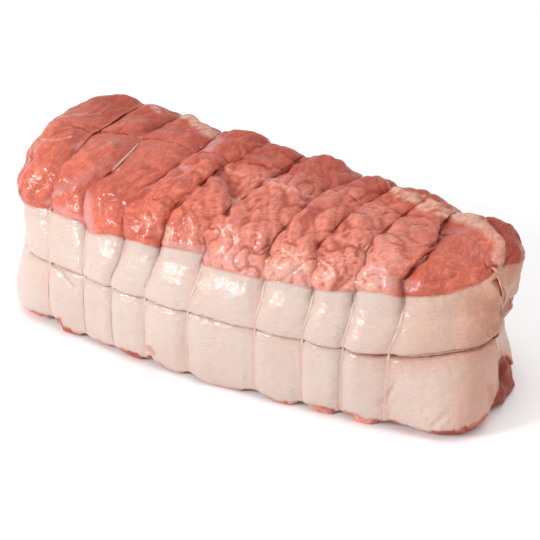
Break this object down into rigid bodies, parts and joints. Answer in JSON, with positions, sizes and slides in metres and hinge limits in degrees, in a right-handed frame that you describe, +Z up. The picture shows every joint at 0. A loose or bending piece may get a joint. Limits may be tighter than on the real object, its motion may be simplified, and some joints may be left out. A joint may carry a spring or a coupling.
{
  "type": "veal topside roast",
  "caption": "Raw oblong roast of veal with fat round its sides, tied crosswise and lengthwise with twine.",
  "frame": {"origin": "middle of the base, on the surface that the roast rests on", "axes": "+X along the roast towards its narrower end, +Y towards its back, +Z up"},
  "size_m": [0.2972, 0.1304, 0.0994],
  "materials": {
    "veal": "raw lean meat and pale fat, damp and softly glossy",
    "twine": "thin off-white cotton twine, damp"
  },
  "bodies": {
    "root": {"veal": "veal", "loop_1": "twine", "loop_2": "twine", "loop_3": "twine", "loop_4": "twine", "loop_5": "twine", "loop_6": "twine", "loop_7": "twine", "loop_8": "twine", "loop_9": "twine", "lengthwise": "twine"}
  },
  "joints": []
}
